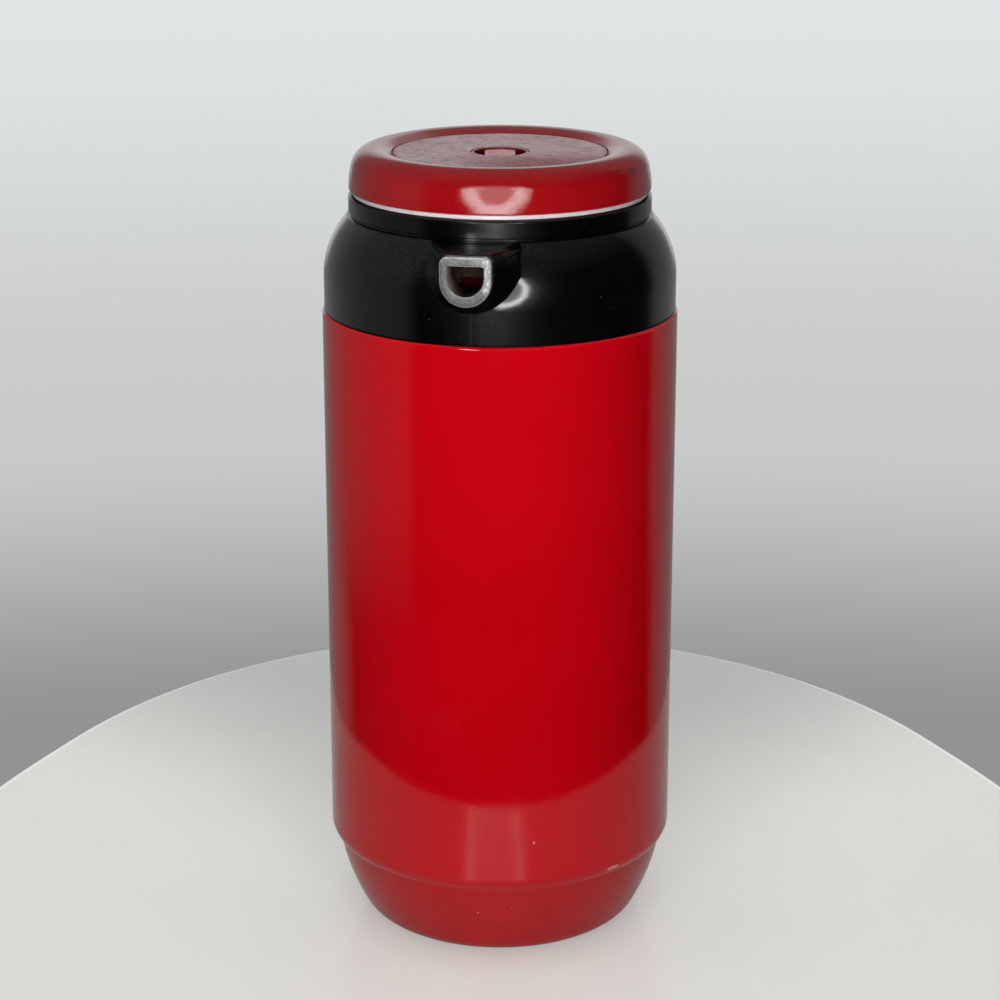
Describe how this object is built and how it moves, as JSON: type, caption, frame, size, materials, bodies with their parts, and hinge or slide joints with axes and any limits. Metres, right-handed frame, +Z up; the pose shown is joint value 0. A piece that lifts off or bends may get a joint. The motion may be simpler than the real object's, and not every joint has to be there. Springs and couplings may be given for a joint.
{
  "type": "pump pot",
  "caption": "Upright round glass-lined pump pot with a gloss red body, black collar and spout beak, turning lid ring and press-down plate.",
  "frame": {"origin": "centre of the flat underside of the base", "axes": "+Z up along the pot's axis, -Y out through the spout, +X to the right seen from the spout side"},
  "size_m": [0.128, 0.1389, 0.2909],
  "materials": {
    "red_enamel": "gloss",
    "red_base": "satin gloss",
    "red_ring": "gloss, worn",
    "plate_red": "matt, dusty",
    "dial_plastic": "satin",
    "black_plastic": "gloss",
    "white_plastic": "satin",
    "clear_plastic": "frosted clear",
    "silvered_glass": "silvered",
    "dark_rubber": "matt",
    "red_rubber": "matt",
    "pale_rubber": "matt",
    "steel": "satin"
  },
  "bodies": {
    "pot": {"base_cap": "red_base", "body_shell": "red_enamel", "liner_cushion": "dark_rubber", "liner_outer": "silvered_glass", "liner_inner": "silvered_glass", "neck_gasket": "dark_rubber", "throat_ring": "black_plastic", "collar": "black_plastic", "spout_nose": "clear_plastic", "spout_gasket": "red_rubber", "delivery_pipe": "steel", "riser_sleeve": "clear_plastic", "riser_tube": "steel", "riser_strainer": "white_plastic"},
    "pump_unit": {"carrier": "white_plastic", "lid_gasket": "red_rubber", "outlet_flap": "red_rubber", "bellows": "pale_rubber", "bellows_clamp": "steel", "return_spring": "steel", "clamp_screws": "steel"},
    "locking_ring": {"lid_ring": "red_ring", "claw_ring": "white_plastic", "claw_screws": "steel"},
    "press_top": {"push_plate": "plate_red", "bellows_cap": "white_plastic", "cap_screws": "steel"},
    "dial": {"air_dial": "dial_plastic", "dial_clip": "dark_rubber"}
  },
  "joints": [
    {"name": "lid_lift", "type": "slide", "parent": "pot", "child": "pump_unit", "axis": [0, 0, 1], "range_m": [0, 0.09]},
    {"name": "ring_turn", "type": "hinge", "parent": "pump_unit", "child": "locking_ring", "pos_m": [0, 0, 0.28], "axis": [0, 0, 1], "range_deg": [0, 35]},
    {"name": "plate_press", "type": "slide", "parent": "pump_unit", "child": "press_top", "axis": [0, 0, -1], "range_m": [0, 0.012], "stiffness_N_per_m": 400, "springref_m": -0.004, "deforming": ["bellows", "return_spring"]},
    {"name": "dial_turn", "type": "hinge", "parent": "press_top", "child": "dial", "pos_m": [0, 0, 0.285], "axis": [0, 0, 1], "range_deg": [0, 90]}
  ]
}
